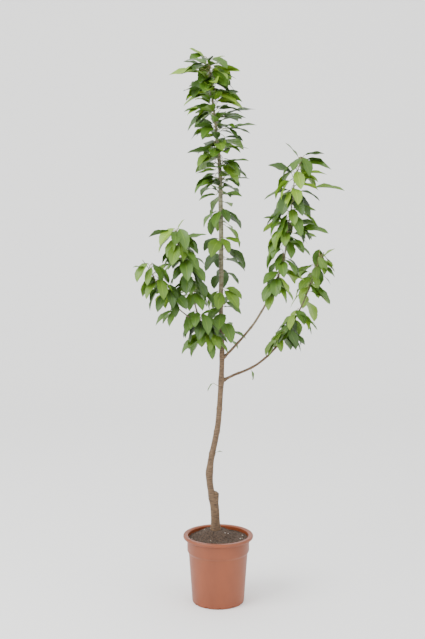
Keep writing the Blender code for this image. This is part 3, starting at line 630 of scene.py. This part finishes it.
class TREE_OT_stage(bpy.types.Operator):
    """Make the floor, the lights and the camera"""

    bl_idname = "tree.stage"
    bl_label = "Stage"

    def execute(self, context):
        """The floor runs level, then up a quarter circle into a wall."""
        turn = np.linspace(0.0, np.pi / 2, 17)
        wall = BEND_START + BEND_RADIUS
        deep = np.concatenate([[FLOOR_FRONT], BEND_START + BEND_RADIUS * np.sin(turn), [wall]])
        high = np.concatenate([[0.0], BEND_RADIUS - BEND_RADIUS * np.cos(turn), [WALL_HEIGHT]])
        sides = (-FLOOR_HALF_WIDTH, FLOOR_HALF_WIDTH)
        points = np.array([(x, y, z) for x in sides for y, z in zip(deep, high)])
        rows = len(deep)
        faces = [(k + rows, k + rows + 1, k + 1, k) for k in range(rows - 1)]
        mesh = bpy.data.meshes.new("floor")
        mesh.from_pydata(points.tolist(), [], faces)
        material, _, shader = new_material("pale_paper", 0.9)
        shader.inputs["Base Color"].default_value = FLOOR_COLOUR
        mesh.materials.append(material)
        mesh.shade_smooth()
        floor = bpy.data.objects.new("floor", mesh)
        context.scene.collection.objects.link(floor)
        for name, place, tilt, size, energy in LIGHTS:
            light = bpy.data.lights.new(name, "AREA")
            light.size = size
            light.energy = energy
            lamp = bpy.data.objects.new(name, light)
            lamp.location = place
            lamp.rotation_euler = [math.radians(angle) for angle in tilt]
            context.scene.collection.objects.link(lamp)
        world = bpy.data.worlds.new("studio")
        world.use_nodes = True
        world.node_tree.nodes["Background"].inputs["Color"].default_value = (1.0, 1.0, 1.0, 1.0)
        world.node_tree.nodes["Background"].inputs["Strength"].default_value = ROOM_STRENGTH
        context.scene.world = world
        lens = bpy.data.cameras.new("camera")
        lens.sensor_fit = "VERTICAL"
        lens.sensor_height = SENSOR_HEIGHT
        lens.lens = CAMERA_LENS
        camera = bpy.data.objects.new("camera", lens)
        camera.location = CAMERA_PLACE
        camera.rotation_euler = (math.radians(CAMERA_TILT), 0.0, 0.0)
        context.scene.collection.objects.link(camera)
        context.scene.camera = camera
        return {"FINISHED"}


class TREE_OT_pot(bpy.types.Operator):
    """Turn the pot with its stepped collar, rolled lip and drainage notches"""

    bl_idname = "tree.pot"
    bl_label = "Pot"

    def execute(self, context):
        """The profile goes up the wall, round the lip and down to below the soil."""
        settings = context.scene.tree_settings
        rounding = np.linspace(0.0, np.pi / 2, 7)
        foot = [(BASE_RADIUS - FOOT_ROUNDING * (1 - math.sin(a)), FOOT_ROUNDING * (1 - math.cos(a)))
                for a in rounding]
        straight = [0.0050, NOTCH_TOP - 1e-4, NOTCH_TOP + 1e-4, 0.020, 0.080]
        heights = np.concatenate([straight, np.linspace(STEP_LOW, STEP_HIGH, 9), [SOIL_FLOOR]])
        wall = [(float(wall_radius(h)), float(h)) for h in heights]
        low = POT_HEIGHT - LIP_HEIGHT
        curl = np.linspace(-np.pi / 2, np.pi / 2, 13)
        lip = [(RIM_RADIUS - LIP_THICKNESS / 2 * (1 - math.cos(a)), low + LIP_HEIGHT / 2 * (1 + math.sin(a)))
               for a in curl]
        inside = [(COLLAR_TOP_RADIUS, POT_HEIGHT), (COLLAR_RADIUS - WALL, POT_HEIGHT - WALL)]
        inside += [(COLLAR_RADIUS - WALL, POT_FLOOR), (POLE_RADIUS, POT_FLOOR)]
        profile = [(POLE_RADIUS, 0.0)] + foot + wall + [(COLLAR_TOP_RADIUS, low)] + lip + inside
        points, faces = turned(profile, POT_SIDES, notch_shape)
        material = plain_material(
            "terracotta_plastic", 0.46, 14.0, (1.0, 1.0, 0.5),
            (tuple(settings.pot_dark), tuple(settings.pot_light)), 0.08, 0.0005)
        pot = add_piece("nursery_pot", points, faces, [material], ["pot"])
        pot.data.set_sharp_from_angle(angle=math.radians(40.0))
        return {"FINISHED"}


class TREE_OT_soil(bpy.types.Operator):
    """Heap the compost with its bark chips"""

    bl_idname = "tree.soil"
    bl_label = "Soil"

    def execute(self, context):
        """The top is a polar grid of heights; each chip is a squashed ball of eight faces."""
        edge = COLLAR_RADIUS - WALL - SOIL_CLEARANCE
        profile = [(POLE_RADIUS, SOIL_FLOOR), (edge, SOIL_FLOOR)]
        profile += [(r, SOIL_EDGE) for r in np.linspace(edge, POLE_RADIUS, SOIL_RINGS)]
        points, faces = turned(profile, SOIL_SIDES, soil_shape)
        compost = plain_material(
            "bark_compost", 0.95, 260.0, (1.0, 1.0, 1.0),
            ((0.018, 0.011, 0.007), (0.085, 0.052, 0.032)), 0.8, 0.002)
        add_piece("compost_top", points, faces, [compost], ["soil"])
        chance = np.random.default_rng(CHIP_SEED)
        turn = chance.uniform(0.0, 2 * np.pi, CHIPS)
        radius = np.sqrt(chance.uniform(0.02, 0.93, CHIPS)) * edge
        place = np.stack([radius * np.cos(turn), radius * np.sin(turn), np.zeros(CHIPS)], axis=-1)
        place[:, 2] = soil_shape(radius, np.full(CHIPS, SOIL_EDGE), turn)[1]
        corners = np.array([(1, 0, 0), (-1, 0, 0), (0, 1, 0), (0, -1, 0), (0, 0, 1), (0, 0, -1)], float)
        size = chance.uniform(*CHIP_SIZES, (CHIPS, 1, 3)) * np.array(CHIP_SHAPE)
        spin = chance.uniform(0.0, np.pi, CHIPS)[:, None]
        local = corners * size
        x = local[..., 0] * np.cos(spin) - local[..., 1] * np.sin(spin)
        y = local[..., 0] * np.sin(spin) + local[..., 1] * np.cos(spin)
        chips = np.stack([x, y, local[..., 2]], axis=-1) + place[:, None]
        eight = [(0, 2, 4), (2, 1, 4), (1, 3, 4), (3, 0, 4), (2, 0, 5), (1, 2, 5), (3, 1, 5), (0, 3, 5)]
        sides = (np.array(eight)[None] + 6 * np.arange(CHIPS)[:, None, None]).reshape(-1, 3)
        index = np.repeat((np.arange(CHIPS) < SPECKS).astype(int), 8)
        pale = plain_material(
            "pale_speck", 0.9, 90.0, (1.0, 1.0, 1.0), ((0.35, 0.30, 0.24), (0.62, 0.57, 0.50)), 0.3, 0.001)
        add_piece("bark_chips", chips.reshape(-1, 3), sides.tolist(), [compost, pale], index=index)
        return {"FINISHED"}


class TREE_OT_bark(bpy.types.Operator):
    """Grow the trunk, its cut stub and the side limbs with their bark"""

    bl_idname = "tree.bark"
    bl_label = "Trunk and limbs"

    def execute(self, context):
        """Radius is the taper and the swellings plus a relief of sines round and along the limb."""
        relief = context.scene.tree_settings.relief
        bark = bark_material()
        front = np.array([[[0.0, -1.0, 0.0]]])
        turn = 2 * np.pi * np.arange(BARK_SIDES) / BARK_SIDES
        route = smooth_route(TRUNK_BENDS, TRUNK_STEPS)
        height = route[:, 2]
        radius = np.interp(height, TRUNK_HEIGHTS, TRUNK_RADII)
        for centre, added, spread in SWELLINGS:
            radius = radius + added * np.exp(-((height - centre) / spread) ** 2)
        ridges = np.sin(3 * turn + 40 * height[:, None]) + 0.6 * np.sin(7 * turn - 95 * height[:, None])
        rings = np.sin(900 * height[:, None] + 2 * np.sin(2 * turn)) * np.sin(130 * height[:, None] + turn)
        coarse = np.interp(height, RELIEF_HEIGHTS, RELIEF_SHARES)[:, None]
        radii = radius[:, None] + relief * coarse * (0.6 * ridges + 0.35 * rings)
        points, faces = tubes(route[None], radii[None], front)
        add_piece("trunk_bark", points, faces, [bark], ["trunk"])
        stub = smooth_route(STUB_BENDS, STUB_STEPS)
        round_stub = STUB_RADIUS + relief * np.sin(5 * turn + 60 * stub[:, 2:])
        points, faces = tubes(stub[None], round_stub[None], front)
        slant = STUB_BENDS[2][2] - STUB_SLANT * (points[:, 0] - STUB_BENDS[2][0])
        points[:, 2] = np.minimum(points[:, 2], slant)
        on_cut = np.isclose(points[:, 2], slant)
        index = [int(on_cut[face].all()) for face in faces]
        callus = plain_material(
            "pale_callus", 0.85, 120.0, (1.0, 1.0, 1.0), ((0.30, 0.24, 0.15), (0.52, 0.44, 0.31)), 0.4, 0.001)
        add_piece("graft_stub", points, faces, [bark, callus], index=index)
        turn = 2 * np.pi * np.arange(LIMB_SIDES) / LIMB_SIDES
        for name, (bends, (foot, end), bulge) in LIMBS.items():
            route = smooth_route(bends, LIMB_STEPS)
            share = np.linspace(0.0, 1.0, LIMB_STEPS + 1)[:, None]
            away = np.linalg.norm(route - route[0], axis=1)[:, None]
            radii = foot + (end - foot) * share + bulge * np.exp(-(away / SWELLING_SPREAD) ** 2)
            buds = np.maximum(0.0, np.sin(share * 2 * np.pi * BUDS)) ** 8
            fine_relief = 0.4 * relief * (1 - 0.7 * share) * np.sin(3 * turn + 70 * share)
            radii = radii * (1.0 + BUD_SWELLING * buds) + fine_relief
            points, faces = tubes(route[None], radii[None], front)
            add_piece(name + "_bark", points, faces, [bark], [name])
        return {"FINISHED"}


class TREE_OT_leaves(bpy.types.Operator):
    """Grow the leaves and their stalks on the leader and the limbs"""

    bl_idname = "tree.leaves"
    bl_label = "Leaves"

    def execute(self, context):
        """Each mass is replaced by its sprays; all stalks are joined into one piece."""
        settings = context.scene.tree_settings
        lengths = (settings.leaf_short, settings.leaf_long)
        names = ("leaf_dark", "leaf_middle", "leaf_light", "leaf_young")
        tones = [leaf_material(name, tuple(getattr(settings, name))) for name in names]
        all_routes = []
        for k, (node, mass) in enumerate(MASSES.items()):
            points, faces, uv, index, routes = grow_mass(mass, settings.seed + k, lengths)
            add_piece(node + "_leaves", points, faces, tones, [node], index, uv)
            all_routes.append(routes)
        points, faces, uv, routes = grow_stem_leaves()
        add_piece("stem_leaves", points, faces, [tones[1]], uv=uv)
        all_routes.append(routes)
        routes = np.concatenate(all_routes)
        radii = np.full((len(routes), STALK_RINGS, STALK_SIDES), STALK_RADIUS)
        across = np.cross(unit(routes[:, -1] - routes[:, 0]), np.array([0.1, 0.0, 1.0]))[:, None, :]
        points, faces = tubes(routes, radii, across)
        stalk = plain_material(
            "leaf_stalk", 0.5, 80.0, (1.0, 1.0, 1.0), ((0.16, 0.17, 0.04), (0.30, 0.24, 0.08)), 0.1, 0.0003)
        add_piece("leaf_stalks", points, faces, [stalk])
        return {"FINISHED"}


class TREE_PT_panel(bpy.types.Panel):
    """Lists the steps and the settings"""

    bl_idname = "TREE_PT_panel"
    bl_label = "Potted Cherry Tree"
    bl_space_type = "VIEW_3D"
    bl_region_type = "UI"
    bl_category = "Tree"

    def draw(self, context):
        """Settings first, then one button for each step."""
        for name in TreeSettings.__annotations__:
            self.layout.prop(context.scene.tree_settings, name)
        for step in ("stage", "pot", "soil", "bark", "leaves"):
            self.layout.operator("tree." + step)


CLASSES = (
    TreeSettings, TREE_OT_stage, TREE_OT_pot, TREE_OT_soil, TREE_OT_bark, TREE_OT_leaves, TREE_PT_panel,
)


def register():
    """Register the classes and the scene's settings."""
    for item in CLASSES:
        bpy.utils.register_class(item)
    bpy.types.Scene.tree_settings = bpy.props.PointerProperty(type=TreeSettings)


def unregister():
    """Take the settings and the classes away again."""
    del bpy.types.Scene.tree_settings
    for item in reversed(CLASSES):
        bpy.utils.unregister_class(item)


def main():
    """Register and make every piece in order."""
    register()
    bpy.ops.tree.stage()
    bpy.ops.tree.pot()
    bpy.ops.tree.soil()
    bpy.ops.tree.bark()
    bpy.ops.tree.leaves()


if __name__ == "__main__":
    main()
